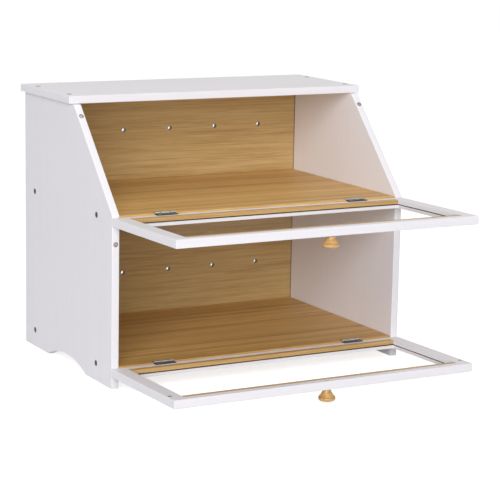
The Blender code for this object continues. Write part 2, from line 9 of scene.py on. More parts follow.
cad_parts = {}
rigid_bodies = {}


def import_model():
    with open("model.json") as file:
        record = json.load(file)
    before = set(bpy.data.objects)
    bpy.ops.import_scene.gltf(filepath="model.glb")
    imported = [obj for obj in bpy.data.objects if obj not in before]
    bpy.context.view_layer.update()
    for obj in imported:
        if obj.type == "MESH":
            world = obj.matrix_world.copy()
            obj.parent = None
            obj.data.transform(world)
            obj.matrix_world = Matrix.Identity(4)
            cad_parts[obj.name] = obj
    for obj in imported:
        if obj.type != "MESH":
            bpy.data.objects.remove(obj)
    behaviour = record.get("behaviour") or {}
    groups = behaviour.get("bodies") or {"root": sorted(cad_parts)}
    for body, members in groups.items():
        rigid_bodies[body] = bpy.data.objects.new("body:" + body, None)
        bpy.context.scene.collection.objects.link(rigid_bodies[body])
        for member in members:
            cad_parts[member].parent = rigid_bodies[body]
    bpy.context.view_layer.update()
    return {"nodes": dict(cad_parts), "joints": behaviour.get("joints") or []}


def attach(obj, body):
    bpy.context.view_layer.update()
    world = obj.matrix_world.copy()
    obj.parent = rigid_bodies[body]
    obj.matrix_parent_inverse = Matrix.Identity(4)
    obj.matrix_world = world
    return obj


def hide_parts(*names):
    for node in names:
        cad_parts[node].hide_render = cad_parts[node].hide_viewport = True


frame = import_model()

# Lengths in metres, as in the frame
MM = 0.001
REST_TILT = math.radians(1.0)
GAP = 0.3 * MM
PANE_SLIP = 0.1 * MM

# The back panel's air holes, and how far its ends show between the side panels: where shade is painted
# on the veneer
VENT_PITCH = 62 * MM
VENT_RADIUS = 2.4 * MM
VENT_ROWS = (76 * MM, 252 * MM)
BACK_END = 177 * MM

# How finely round pieces are cut
ROUND_STEPS = 48
KNOB_STEPS = 64
KNUCKLE_STEPS = 32

# Edges that turn by more than this stay crisp: on plain meshes, on carved ones and on boards
PLAIN_CREASE = math.radians(40)
CARVED_CREASE = math.radians(35)
BOARD_CREASE = math.radians(25)

SIDES = {"left": -1, "right": 1}
TIERS = ("upper", "lower")


# Node trees

def new_material(name):
    made = bpy.data.materials.new(name)
    made.use_nodes = True
    return made, made.node_tree.nodes["Principled BSDF"], made.node_tree


def node(tree, kind, values=None, **settings):
    """A shader node with its settings and with constants or links for its inputs."""
    made = tree.nodes.new("ShaderNode" + kind)
    for key, value in settings.items():
        setattr(made, key, value)
    for key, value in (values or {}).items():
        if isinstance(value, bpy.types.NodeSocket):
            tree.links.new(value, made.inputs[key])
        else:
            made.inputs[key].default_value = value
    return made


def math_node(tree, operation, first, second=0.0, third=0.0):
    return node(tree, "Math", {0: first, 1: second, 2: third}, operation=operation).outputs[0]


def mixed(tree, share, first, second):
    """One colour into another by a share."""
    made = node(tree, "Mix", data_type="RGBA")
    for socket, value in zip((made.inputs[0], made.inputs[6], made.inputs[7]), (share, first, second)):
        if isinstance(value, bpy.types.NodeSocket):
            tree.links.new(value, socket)
        else:
            socket.default_value = value
    return made.outputs[2]


def ramp(tree, share, stops):
    made = node(tree, "ValToRGB", {0: share})
    elements = made.color_ramp.elements
    for element, (position, colour) in zip(elements, stops):
        element.position = position
        element.color = (*colour, 1.0)
    for position, colour in stops[2:]:
        elements.new(position).color = (*colour, 1.0)
    return made.outputs[0]


def remapped(tree, value, low, high, new_low, new_high):
    values = {0: value, 1: low, 2: high, 3: new_low, 4: new_high}
    return node(tree, "MapRange", values).outputs[0]


def noise(tree, vector, scale, detail=2.0, roughness=0.5):
    values = {"Vector": vector, "Scale": scale, "Detail": detail, "Roughness": roughness}
    return node(tree, "TexNoise", values).outputs[0]


def stretched(tree, vector, scale):
    return node(tree, "Mapping", {"Vector": vector, "Scale": scale}).outputs[0]


def bump(tree, height, distance, normal=None):
    values = {"Height": height, "Distance": distance, "Strength": 1.0}
    if normal is not None:
        values["Normal"] = normal
    return node(tree, "Bump", values).outputs[0]


def object_coordinates(tree):
    return node(tree, "TexCoord").outputs["Object"]


def from_half(tree, value):
    """How far a value's fraction lies from a half."""
    fraction = math_node(tree, "FRACT", value)
    return math_node(tree, "ABSOLUTE", math_node(tree, "SUBTRACT", fraction, 0.5))


# Materials

def white_paint(name, grain_scale):
    """Satin white lacquer over bamboo: an even coat with a faint orange peel and a hint of grain."""
    made, shader, tree = new_material(name)
    where = object_coordinates(tree)
    grain = noise(tree, stretched(tree, where, grain_scale), 1.0, 3.0, 0.6)
    cloud = noise(tree, where, 9.0, 3.0)
    tone = math_node(tree, "MULTIPLY_ADD", grain, 0.65, math_node(tree, "MULTIPLY", cloud, 0.35))
    colour = mixed(tree, remapped(tree, tone, 0.36, 0.64, 0.0, 1.0),
                   (0.846, 0.831, 0.864, 1), (0.867, 0.853, 0.882, 1))
    tree.links.new(colour, shader.inputs["Base Color"])
    tree.links.new(remapped(tree, cloud, 0.3, 0.7, 0.42, 0.52), shader.inputs["Roughness"])
    shader.inputs["Specular IOR Level"].default_value = 0.4
    peel = noise(tree, where, 420.0, 2.0)
    normal = bump(tree, peel, 0.02 * MM)
    normal = bump(tree, grain, 0.04 * MM, normal)
    tree.links.new(normal, shader.inputs["Normal"])
    return made


# Light, middle and dark fibres, and how far apart a strip's knots are
BAMBOO = ((0.715, 0.490, 0.220), (0.615, 0.390, 0.155), (0.395, 0.225, 0.080))
KNOT_PITCH = 240 * MM


def bamboo_strips(tree, where, strip):
    """The count across the strips, and a fixed share and coordinates of its own for each strip."""
    slow = noise(tree, stretched(tree, where, (5.0, 60.0, 60.0)), 1.0)
    waver = remapped(tree, slow, 0.0, 1.0, -1.0, 1.0)
    # Y and Z together, so that faces and edges of a board both show strips, whose edges waver a little
    _, y, z = node(tree, "SeparateXYZ", {0: where}).outputs
    across = math_node(tree, "MULTIPLY_ADD", waver, 0.6 * MM, math_node(tree, "ADD", y, z))
    counted = math_node(tree, "DIVIDE", across, strip)
    index = math_node(tree, "FLOOR", counted)
    seed = node(tree, "TexWhiteNoise", {"W": index}, noise_dimensions="1D").outputs[0]
    spread = node(tree, "CombineXYZ", {0: seed, 1: index, 2: 0.0}).outputs[0]
    shifted = node(tree, "VectorMath", {0: where, 1: spread}, operation="ADD").outputs[0]
    return counted, seed, shifted


def bamboo_fibres(tree, where, base, fibres, streaks, tones):
    """The board's tone with soft streaks, fine dark fibres and pale dashes along X."""
    light, middle, dark = tones
    dashes = noise(tree, stretched(tree, where, (30.0, 1000.0, 1000.0)), 1.0, 2.0, 0.5)
    colour = ramp(tree, base, [(0.20, dark), (0.80, light), (0.46, middle)])
    soft = remapped(tree, streaks, 0.46, 0.66, 0.0, 0.60)
    colour = mixed(tree, soft, colour, (*dark, 1))
    line = remapped(tree, fibres, 0.45, 0.66, 0.0, 0.45)
    colour = mixed(tree, line, colour, (*dark, 1))
    pale = remapped(tree, dashes, 0.52, 0.68, 0.0, 0.50)
    return mixed(tree, pale, colour, (*light, 1))


def bamboo(name, tint, strip=8.5 * MM, strips=0.42, knots=1.0):
    """Varnished laminated bamboo whose strips run along X: each strip has its own tone and fine
    fibres and, here and there, the dark line of a culm's knot."""
    made, shader, tree = new_material(name)
    where = object_coordinates(tree)
    counted, seed, shifted = bamboo_strips(tree, where, strip)
    tones = [tuple(a * b for a, b in zip(colour, tint)) for colour in BAMBOO]
    broad = noise(tree, stretched(tree, where, (5.0, 110.0, 110.0)), 1.0, 3.0, 0.6)
    fibres = noise(tree, stretched(tree, shifted, (10.0, 1500.0, 1500.0)), 1.0, 3.0, 0.65)
    streaks = noise(tree, stretched(tree, shifted, (7.0, 430.0, 430.0)), 1.0, 4.0, 0.65)
    clouded = math_node(tree, "MULTIPLY", broad, 1.0 - strips)
    base = math_node(tree, "MULTIPLY_ADD", seed, strips, clouded)
    colour = bamboo_fibres(tree, where, base, fibres, streaks, tones)

    # A knot line at a place of its own in each strip, and the glue line between two strips
    x = node(tree, "SeparateXYZ", {0: where}).outputs[0]
    along = math_node(tree, "MULTIPLY_ADD", seed, 7.3, math_node(tree, "DIVIDE", x, KNOT_PITCH))
    bent = math_node(tree, "MULTIPLY_ADD", streaks, 0.012, along)
    dark_knot = remapped(tree, from_half(tree, bent), 0.0, 0.004, 1.0, 0.0)
    seam = remapped(tree, from_half(tree, counted), 0.47, 0.5, 0.0, 1.0)
    for line, strength in ((dark_knot, 0.30), (seam, 0.22)):
        share = math_node(tree, "MULTIPLY", line, strength * knots)
        colour = mixed(tree, share, colour, (*tones[2], 1))
    tree.links.new(colour, shader.inputs["Base Color"])
    tree.links.new(remapped(tree, fibres, 0.3, 0.7, 0.42, 0.56), shader.inputs["Roughness"])
    shader.inputs["Specular IOR Level"].default_value = 0.4
    tree.links.new(bump(tree, fibres, 0.04 * MM), shader.inputs["Normal"])
    return made


def darken(made, share, colour):
    """Lays a dark colour over a finish where the share says so."""
    tree = made.node_tree
    base = tree.nodes["Principled BSDF"].inputs["Base Color"]
    tree.links.new(mixed(tree, share, base.links[0].from_socket, (*colour, 1)), base)


def paint_shade_near(made, places, reach, colour):
    """Paints shade in and just round holes: bare wood in shade round the screws, a dark rim round the
    magnets. The places are (distance from the middle, Y, Z).
    """
    tree = made.node_tree
    x, y, z = node(tree, "SeparateXYZ", {0: object_coordinates(tree)}).outputs
    folded = node(tree, "CombineXYZ", {0: math_node(tree, "ABSOLUTE", x), 1: y, 2: z}).outputs[0]
    nearest = None
    for place in places:
        measured = node(tree, "VectorMath", {0: folded, 1: place}, operation="DISTANCE")
        apart = measured.outputs["Value"]
        nearest = math_node(tree, "MINIMUM", nearest, apart) if nearest else apart
    darken(made, remapped(tree, nearest, reach, reach + 0.15 * MM, 0.9, 0.0), colour)


def bamboo_back_painted_shade():
    """The back panel's veneer, with painted shade in the air holes and along the grooves that hold its
    ends.
    """
    # Darker than the shelves: partly the veneer's own olive tone, partly painted shade of the deep
    # compartments
    made = bamboo("bamboo_back_painted_shade", (0.89, 0.95, 0.97), 30.0 * MM, 0.20, 0.0)
    tree = made.node_tree
    x, _, z = node(tree, "SeparateXYZ", {0: object_coordinates(tree)}).outputs
    # Painted shade: the walls of each air hole and a thin ring round it are darkened
    rows = [math_node(tree, "ABSOLUTE", math_node(tree, "SUBTRACT", z, row)) for row in VENT_ROWS]
    from_row = math_node(tree, "MINIMUM", *rows)
    from_column = math_node(tree, "PINGPONG", x, VENT_PITCH / 2)
    offset = node(tree, "CombineXYZ", {0: from_column, 1: from_row, 2: 0.0}).outputs[0]
    reach = node(tree, "VectorMath", {0: offset}, operation="LENGTH").outputs["Value"]
    hole = remapped(tree, reach, VENT_RADIUS + 0.1 * MM, VENT_RADIUS + 0.6 * MM, 0.92, 0.0)
    darken(made, hole, (0.075, 0.060, 0.050))
    # Painted shade: a thin dark line at each end, where the veneer runs into the side panels' grooves
    end = math_node(tree, "ABSOLUTE", x)
    seam = remapped(tree, end, BACK_END - 1.2 * MM, BACK_END - 0.5 * MM, 0.0, 0.85)
    darken(made, seam, (0.060, 0.036, 0.020))
    return made


def clear_acrylic():
    """A thin clear sheet: nearly all of what is behind it shows, with a little haze on it."""
    made, shader, tree = new_material("clear_acrylic")
    where = object_coordinates(tree)
    haze = noise(tree, stretched(tree, where, (12.0, 12.0, 12.0)), 1.0, 2.0)
    tree.links.new(remapped(tree, haze, 0.3, 0.7, 0.02, 0.07), shader.inputs["Roughness"])
    shader.inputs["Base Color"].default_value = (0.93, 0.95, 0.96, 1)
    shader.inputs["IOR"].default_value = 1.49
    shader.inputs["Alpha"].default_value = 0.035
    return made


def plated(name, colour, dark, roughness):
    """A plated metal with fine rolling marks and darker spots: a few dull spots, and on the nickel
    near-black patches that are painted dark reflections.
    """
    made, shader, tree = new_material(name)
    where = object_coordinates(tree)
    marks = noise(tree, stretched(tree, where, (300.0, 2600.0, 2600.0)), 1.0, 3.0)
    spots = noise(tree, where, 700.0, 3.0)
    tint = mixed(tree, remapped(tree, spots, 0.48, 0.70, 0.0, 0.7), (*colour, 1), (*dark, 1))
    tree.links.new(tint, shader.inputs["Base Color"])
    shader.inputs["Metallic"].default_value = 1.0
    low, high = roughness
    tree.links.new(remapped(tree, marks, 0.3, 0.7, low, high), shader.inputs["Roughness"])
    tree.links.new(bump(tree, marks, 0.008 * MM), shader.inputs["Normal"])
    return made


def turned_wood():
    """Turned bamboo: its layers show as fine curved lines on the bell, with a clear varnish."""
    made, shader, tree = new_material("turned_wood")
    where = object_coordinates(tree)
    layers = noise(tree, stretched(tree, where, (60.0, 700.0, 500.0)), 1.0, 3.0, 0.6)
    flecks = noise(tree, stretched(tree, where, (300.0, 1800.0, 1400.0)), 1.0, 3.0, 0.6)
    colour = ramp(tree, layers, [(0.30, (0.40, 0.210, 0.060)), (0.72, (0.70, 0.450, 0.170)),
                                 (0.50, (0.60, 0.350, 0.110))])
    colour = mixed(tree, remapped(tree, flecks, 0.5, 0.75, 0.0, 0.45), colour, (0.40, 0.20, 0.06, 1))
    tree.links.new(colour, shader.inputs["Base Color"])
    tree.links.new(remapped(tree, flecks, 0.3, 0.7, 0.34, 0.46), shader.inputs["Roughness"])
    shader.inputs["Coat Weight"].default_value = 0.25
    tree.links.new(bump(tree, flecks, 0.03 * MM), shader.inputs["Normal"])
    return made


def make_finishes():
    screw = plated("dark_zinc", (0.085, 0.072, 0.050), (0.045, 0.036, 0.026), (0.34, 0.46))
    # The leaves' plating is far darker than the knuckles' nickel: painted shade, with the brighter
    # knuckles as a painted highlight
    leaf = plated("hinge_leaf_painted_shade", (0.085, 0.082, 0.080), (0.045, 0.043, 0.042), (0.24, 0.36))
    return {
        "white_paint": white_paint("white_paint", (12.0, 260.0, 260.0)),
        "top_paint": white_paint("top_paint", (12.0, 260.0, 260.0)),
        "upright_paint": white_paint("upright_paint", (260.0, 260.0, 9.0)),
        "bamboo": bamboo("bamboo", (1.10, 1.06, 0.91)),
        "bamboo_back_painted_shade": bamboo_back_painted_shade(),
        "bamboo_bead": bamboo("bamboo_bead", (0.92, 0.89, 0.82), 4.0 * MM, 0.30, 0.3),
        # Bare wood at half tone: partly the unpainted wood, partly painted shade inside the grooves
        "raw_bamboo_painted_shade": bamboo("raw_bamboo_painted_shade", (0.50, 0.50, 0.50), 4.0 * MM, 0.20, 0.0),
        "turned_wood": turned_wood(),
        "clear_pane": clear_acrylic(),
        "screw_steel": screw,
        "magnet_steel": plated("nickel_cup", (0.40, 0.37, 0.31), (0.20, 0.18, 0.15), (0.26, 0.38)),
        "strike_steel": plated("dark_steel", (0.22, 0.20, 0.18), (0.12, 0.11, 0.10), (0.34, 0.46)),
        "hinge_leaf_painted_shade": leaf,
        # Its near-black spots are painted dark reflections on the knuckles, pins and hinge screws
        "nickel": plated("nickel", (0.50, 0.49, 0.47), (0.04, 0.04, 0.04), (0.18, 0.30)),
    }


finishes = make_finishes()


# Meshes

def link(name, mesh, finish, body, stands_for=(), matrix=None):
    """A shown piece of one body."""
    obj = bpy.data.objects.new(name, mesh)
    bpy.context.scene.collection.objects.link(obj)
    if not mesh.materials:
        mesh.materials.append(None)
    for index, held in enumerate(mesh.materials):
        mesh.materials[index] = held or finishes[finish]
    if matrix is not None:
        mesh.transform(matrix)
    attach(obj, body)
    if stands_for:
        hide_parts(*stands_for)
    return obj


def finished(bm, name):
    """A mesh with smooth round stretches and crisp edges."""
    bmesh.ops.remove_doubles(bm, verts=bm.verts, dist=0.001 * MM)
    bmesh.ops.recalc_face_normals(bm, faces=bm.faces)
    mesh = bpy.data.meshes.new(name)
    bm.to_mesh(mesh)
    bm.free()
    mesh.shade_smooth()
    mesh.set_sharp_from_angle(angle=PLAIN_CREASE)
    return mesh


def add_box(bm, low, high):
    low, high = Vector(low), Vector(high)
    verts = bmesh.ops.create_cube(bm, size=1.0)["verts"]
    for vert in verts:
        shares = vert.co + Vector((0.5, 0.5, 0.5))
        vert.co = [a + share * (b - a) for a, b, share in zip(low, high, shares)]
    return verts


def add_turned(bm, profile, steps=ROUND_STEPS, matrix=None):
    """(radius, height) points from axis to axis, turned about Z."""
    matrix = matrix or Matrix()
    rings = []
    for radius, height in profile:
        count = steps if radius else 1
        angles = [2 * math.pi * i / steps for i in range(count)]
        corners = [Vector((radius * math.cos(a), radius * math.sin(a), height)) for a in angles]
        rings.append([bm.verts.new(matrix @ corner) for corner in corners])
    for low, high in zip(rings, rings[1:]):
        for i in range(steps):
            j = (i + 1) % steps
            corners = [low[i % len(low)], low[j % len(low)], high[j % len(high)], high[i % len(high)]]
            bm.faces.new(list(dict.fromkeys(corners)))


def turned_mesh(name, profile, steps=ROUND_STEPS):
    bm = bmesh.new()
    add_turned(bm, profile, steps)
    return finished(bm, name)


def box_mesh(name, low, high):
    bm = bmesh.new()
    add_box(bm, low, high)
    return finished(bm, name)


def carved(name, mesh, steps, radius=0.0):
    """The mesh with its edges eased, then joined with or cut by others, as one closed mesh."""
    scene = bpy.context.scene.collection.objects
    obj = bpy.data.objects.new(name, mesh)
    scene.link(obj)
    if radius:
        ease = obj.modifiers.new("ease", "BEVEL")
        ease.width = radius
        ease.segments = 3
        ease.limit_method = "ANGLE"
    tools = []
    for operation, other in steps:
        tool = bpy.data.objects.new(name + "_tool", other)
        scene.link(tool)
        tools.append(tool)
        step = obj.modifiers.new("step", "BOOLEAN")
        step.operation = operation
        step.object = tool
        step.solver = "EXACT"
        step.material_mode = "TRANSFER"
    evaluated = obj.evaluated_get(bpy.context.evaluated_depsgraph_get())
    made = bpy.data.meshes.new_from_object(evaluated)
    made.name = name
    for done in (*tools, obj):
        bpy.data.objects.remove(done)
    made.shade_smooth()
    made.set_sharp_from_angle(angle=CARVED_CREASE)
    return made


def level_normals(obj):
    """Keeps wide flat faces flat beside their rounded edges."""
    step = obj.modifiers.new("level", "WEIGHTED_NORMAL")
    step.keep_sharp = True
    step.weight = 100


# Places that the frame gives

def door_matrix(tier):
    """The door's own frame: X along the hinge axis, the door towards -Y, its inner face upwards."""
    joint = next(j for j in frame["joints"] if j["name"] == f"{tier}_door_hinge")
    return Matrix.Translation(joint["pos_m"]) @ Matrix.Rotation(-REST_TILT, 4, "X")


def box_in(name, matrix=None):
    """A node's lowest and highest corner, in the frame that the matrix places."""
    inverse = (matrix or Matrix()).inverted()
    points = [inverse @ vert.co for vert in frame["nodes"][name].data.vertices]
    low = Vector([min(p[i] for p in points) for i in range(3)])
    high = Vector([max(p[i] for p in points) for i in range(3)])
    return low, high


def pointing(place, direction):
    turn = Vector(direction).to_track_quat("Z", "Y").to_matrix().to_4x4()
    return Matrix.Translation(place) @ turn


# Fasteners

def cross_tool(name, arm, width, depth):
    """The cutter of a cross recess: wide at the head's face, narrow at its bottom."""
    bm = bmesh.new()
    rings = []
    for height, share in ((depth / 2, 1.25), (-depth, 0.35)):
        half, reach = width / 2 * min(share, 1.0), arm * share
        quarter = [(reach, -half), (reach, half), (half, half)]
        corners = [Matrix.Rotation(math.pi / 2 * i, 2) @ Vector(p) for i in range(4) for p in quarter]
        rings.append([bm.verts.new((p.x, p.y, height)) for p in corners])
    top, bottom = rings
    bm.faces.new(top)
    bm.faces.new(list(reversed(bottom)))
    for i in range(len(top)):
        bm.faces.new((top[i - 1], top[i], bottom[i], bottom[i - 1]))
    return finished(bm, name)


def screw_mesh(name, head, shank, length, dome=0.0):
    """A countersunk screw with a cross recess: head face at height 0, point downwards."""
    rim = 0.12 * head
    profile = [(0.0, dome)]
    if dome:
        profile += [(head * share, dome * (1 - share**2)) for share in (0.3, 0.6, 0.85)]
    profile += [(head * 0.97, 0.0), (head, -rim / 2), (head, -rim), (shank, -rim - (head - shank))]
    turns = 7
    pitch = (length - 2 * head) / (turns + 1)
    for k in range(turns):
        at = -1.6 * head - pitch * k
        profile += [(shank * 0.80, at), (shank, at - pitch * 0.45), (shank, at - pitch * 0.55)]
    profile += [(shank * 0.75, -length + 2 * shank), (shank * 0.1, -length), (0.0, -length)]
    cross = cross_tool(name + "_cross", head * 0.62, head * 0.24, head * 0.55)
    return carved(name, turned_mesh(name, profile), [("DIFFERENCE", cross)])


def screw_place(name):
    """The middle of a board screw's head, which way it faces, and its radius and length."""
    ways = {"left": (-1, 0, 0), "right": (1, 0, 0), "top": (0, 0, 1)}
    way = Vector(ways[name.split("_")[0]])
    low, high = box_in(name)
    size = high - low
    return (low + high) / 2 + way * max(size) / 2, way, min(size) / 2, max(size)


def dress_screws():
    names = [name for name in frame["nodes"] if name.endswith("_screw") and "knob" not in name]
    _, _, head, length = screw_place(names[0])
    mesh = screw_mesh("board_screw", head, head * 0.53, length)
    for name in names:
        face, way, _, _ = screw_place(name)
        place = pointing(face, way)
        link(f"{name}_fine", mesh.copy(), "screw_steel", "cabinet", [name], place)
    # Painted shade round the screw heads, over the colour of bare wood
    holes = {"upright_paint": "right_", "top_paint": "top_right_"}
    for finish, start in holes.items():
        places = [screw_place(name)[0] for name in names if name.startswith(start)]
        paint_shade_near(finishes[finish], places, head + 0.35 * MM, (0.16, 0.115, 0.065))


def dress_knob_screw(tier):
    name = f"{tier}_door_knob_screw"
    matrix = door_matrix(tier)
    low, high = box_in(name, matrix)
    middle = (low + high) / 2
    head = (high.x - low.x) / 2
    mesh = screw_mesh(name, head, head * 0.6, high.z - low.z)
    face = Matrix.Translation((middle.x, middle.y, high.z))
    link(f"{name}_fine", mesh, "screw_steel", f"{tier}_door", [name], matrix @ face)


# Magnets and the discs that they hold

def cup_profile(radius, length):
    """A magnet in its cup: a core, a fine ring groove and the cup's rim."""
    groove = 0.10 * radius
    core = 0.70 * radius
    return [(0.0, 0.0), (core - groove / 2, 0.0), (core, -groove), (core + groove / 2, -groove),
            (core + groove, 0.0), (radius * 0.94, 0.0), (radius, -0.06 * radius), (radius, -length),
            (0.0, -length)]


def disc_profile(radius, length):
    return [(0.0, -0.02 * radius), (0.18 * radius, -0.02 * radius), (0.22 * radius, 0.0),
            (radius * 0.92, 0.0), (radius, -0.08 * radius), (radius, -length), (0.0, -length)]


def magnet_place(name):
    """The middle of a magnet's face, which way it faces, and its radius and length."""
    low, high = box_in(name)
    middle = (low + high) / 2
    out = Vector((0, -1, 0)) if name.startswith("lower") else slant_outward()
    reach = max((vert.co - middle).dot(out) for vert in frame["nodes"][name].data.vertices)
    return middle + out * reach, out, (high.x - low.x) / 2, 2 * reach


def dress_magnets():
    for side in SIDES:
        for tier in TIERS:
            name = f"{tier}_{side}_magnet"
            face, out, radius, length = magnet_place(name)
            mesh = turned_mesh(name, cup_profile(radius, length))
            place = pointing(face, out)
            link(f"{name}_fine", mesh, "magnet_steel", "cabinet", [name], place)
    # Painted shade in the gap round each magnet's rim
    places = [magnet_place(f"{tier}_right_magnet")[0] for tier in TIERS]
    paint_shade_near(finishes["upright_paint"], places, radius + 0.25 * MM, (0.050, 0.042, 0.034))


def slant_outward():
    """Square to the slanted front edges, which the upper door's joint closes against."""
    joint = next(j for j in frame["joints"] if j["name"] == "upper_door_hinge")
    _, high = joint.get("range_deg") or [math.degrees(v) for v in joint["range_rad"]]
    shut = math.radians(high) + REST_TILT
    return Vector((0, -math.sin(shut), -math.cos(shut)))


def dress_strikes(tier):
    """Bare on the lower door and painted over on the upper one."""
    matrix = door_matrix(tier)
    for side in SIDES:
        name = f"{tier}_door_{side}_strike"
        low, high = box_in(name, matrix)
        middle = (low + high) / 2
        mesh = turned_mesh(name, disc_profile((high.x - low.x) / 2, high.z - low.z))
        place = matrix @ Matrix.Translation((middle.x, middle.y, high.z))
        finish = "strike_steel" if tier == "lower" else "white_paint"
        link(f"{name}_fine", mesh, finish, f"{tier}_door", [name], place)


# Hinges

KNUCKLE_RADIUS = 1.4 * MM
KNUCKLE_EASE = 0.2 * MM
LEAF_SHEET = 0.8 * MM
LEAF_TOP = LEAF_SHEET - KNUCKLE_RADIUS
PIN_PLAY = 0.06 * MM
PIN_EASE = 0.2 * MM
SCREW_OUT = 4.5 * MM
SCREW_APART = 8.5 * MM
LEAF_SCREW = {"head": 1.6 * MM, "shank": 0.8 * MM, "length": 6 * MM, "dome": 0.25 * MM}
SINK_RIM = 1.75 * MM
SINK_BORE = 0.95 * MM
# The knuckles' ends, as shares of the hinge's length
KNUCKLE_SHARES = (0.0, 0.25, 0.75, 1.0)


def hinge_sizes(tier, side):
    """A hinge's middle, length, pin radius and leaf width, from its nodes in the door's frame."""
    matrix = door_matrix(tier)
    leaf_low, _ = box_in(f"{tier}_{side}_hinge_door_leaf", matrix)
    low, high = box_in(f"{tier}_{side}_hinge_pin", matrix)
    return {
        "middle": (low.x + high.x) / 2,
        "length": high.x - low.x,
        "pin": (high.z - low.z) / 2,
        "width": -leaf_low.y,
    }


def along_x(bm, radius, start, end, ease=0.0):
    turn = Vector((1, 0, 0)).to_track_quat("Z", "Y").to_matrix().to_4x4()
    profile = [(0.0, start), (radius - ease, start), (radius, start + ease), (radius, end - ease),
               (radius - ease, end), (0.0, end)]
    add_turned(bm, profile, KNUCKLE_STEPS, turn)


def knuckle_mesh(way, start, end):
    """A rolled knuckle and the tail that joins it to its leaf, about the hinge's axis."""
    first = math.asin(LEAF_TOP / KNUCKLE_RADIUS)
    turn = 1.5 * math.pi - first
    tail = KNUCKLE_RADIUS + 2 * GAP
    ease = KNUCKLE_EASE
    bm = bmesh.new()
    rings = []
    for x, inset in ((start, ease), (start + ease, 0.0), (end - ease, 0.0), (end, ease)):
        points = []
        for k in range(KNUCKLE_STEPS + 1):
            radius = KNUCKLE_RADIUS - (inset if 0 < k < KNUCKLE_STEPS else 0.0)
            angle = first + turn * k / KNUCKLE_STEPS
            points.append((radius * math.cos(angle), radius * math.sin(angle)))
        points += [(tail, -KNUCKLE_RADIUS), (tail, LEAF_TOP)]
        rings.append([bm.verts.new((x, way * y, z)) for y, z in points])
    for low, high in zip(rings, rings[1:]):
        for i in range(len(low)):
            bm.faces.new((low[i - 1], low[i], high[i], high[i - 1]))
    bm.faces.new(rings[0])
    bm.faces.new(rings[-1])
    made = finished(bm, "knuckle")
    # The brighter nickel: a painted highlight on the rolled knuckles
    made.materials.append(finishes["nickel"])
    return made


def leaf_mesh(name, way, first, size):
    """A leaf of sheet metal with rolled knuckles and countersunk holes, about the hinge's axis."""
    half = size["length"] / 2
    near, far = sorted((way * (KNUCKLE_RADIUS + GAP), way * size["width"]))
    plate = box_mesh(name, (-half, near, -KNUCKLE_RADIUS), (half, far, LEAF_TOP))
    # The darker plating: painted shade on the flat leaves
    plate.materials.append(finishes["hinge_leaf_painted_shade"])
    meets = [share * (size["length"] + GAP) - half for share in KNUCKLE_SHARES]
    steps = []
    for k in range(first, len(meets) - 1, 2):
        steps.append(("UNION", knuckle_mesh(way, meets[k], meets[k + 1] - GAP)))
    bore = bmesh.new()
    along_x(bore, size["pin"] + PIN_PLAY, -half - MM, half + MM)
    steps.append(("DIFFERENCE", finished(bore, "bore")))
    profile = [(0.0, MM), (SINK_RIM, MM), (SINK_RIM, 0.0), (SINK_BORE, -0.6 * LEAF_SHEET),
               (SINK_BORE, -MM), (0.0, -MM)]
    for x in (-SCREW_APART, SCREW_APART):
        sink = bmesh.new()
        add_turned(sink, profile, KNUCKLE_STEPS, Matrix.Translation((x, way * SCREW_OUT, LEAF_TOP)))
        steps.append(("DIFFERENCE", finished(sink, "sink")))
    return carved(name, plate, steps)


def dress_hinge(tier, side):
    size = hinge_sizes(tier, side)
    door = door_matrix(tier)
    joint = Matrix.Translation(door.translation)
    spot = Matrix.Translation((size["middle"], 0, 0))
    label = f"{tier}_{side}_hinge"
    for leaf, way, first, body, base in (
        ("shelf_leaf", 1, 0, "cabinet", joint),
        ("door_leaf", -1, 1, f"{tier}_door", door),
    ):
        name = f"{label}_{leaf}"
        mesh = leaf_mesh(name, way, first, size)
        link(f"{name}_fine", mesh, "hinge_leaf_painted_shade", body, [name], base @ spot)
        for number, x in enumerate((-SCREW_APART, SCREW_APART), 1):
            screw = screw_mesh(f"{name}_screw_{number}", **LEAF_SCREW)
            head = Matrix.Translation((x, way * SCREW_OUT, LEAF_TOP))
            link(f"{name}_screw_{number}", screw, "nickel", body, (), base @ spot @ head)
    pin = bmesh.new()
    along_x(pin, size["pin"], -size["length"] / 2, size["length"] / 2, PIN_EASE)
    link(f"{label}_pin_fine", finished(pin, "pin"), "nickel", "cabinet",
         [f"{label}_pin"], joint @ spot)


# Knobs

def knob_profile(length, neck, rim):
    """The part's bell, with a fine bead under the rim and a domed end."""
    shoulder, step, dome = 0.59 * length, 0.63 * length, 0.79 * length
    wide = 0.947 * rim
    points = [(0.0, 0.0), (neck * 0.96, 0.0), (neck, -0.02 * length)]
    count = 14
    for k in range(1, count + 1):
        share = k / count
        points.append((neck + (wide - neck) * share**1.8, -shoulder * share))
    points += [(wide - 0.06 * rim, -shoulder - 0.012 * length), (0.86 * rim, -(shoulder + step) / 2),
               (0.90 * rim, -step + 0.004 * length), (rim * 0.975, -step - 0.010 * length),
               (rim, -step - 0.045 * length)]
    for k in range(count):
        angle = math.pi / 2 * k / count
        points.append((rim * math.cos(angle), -dome - (length - dome) * math.sin(angle)))
    return points + [(0.0, -length)]


def dress_knob(tier):
    name = f"{tier}_door_knob"
    matrix = door_matrix(tier)
    low, high = box_in(name, matrix)
    middle = (low + high) / 2
    neck = max(math.hypot(p.x - middle.x, p.y - middle.y)
               for p in (matrix.inverted() @ v.co for v in frame["nodes"][name].data.vertices)
               if high.z - p.z < 0.01 * MM)
    mesh = turned_mesh(name, knob_profile(high.z - low.z, neck, (high.x - low.x) / 2), KNOB_STEPS)
    place = matrix @ Matrix.Translation((middle.x, middle.y, high.z))
    link(f"{name}_fine", mesh, "turned_wood", f"{tier}_door", [name], place)


# Door frames: their painted members are glued and filled, so no seam shows

FRAME_EDGE = 0.6 * MM


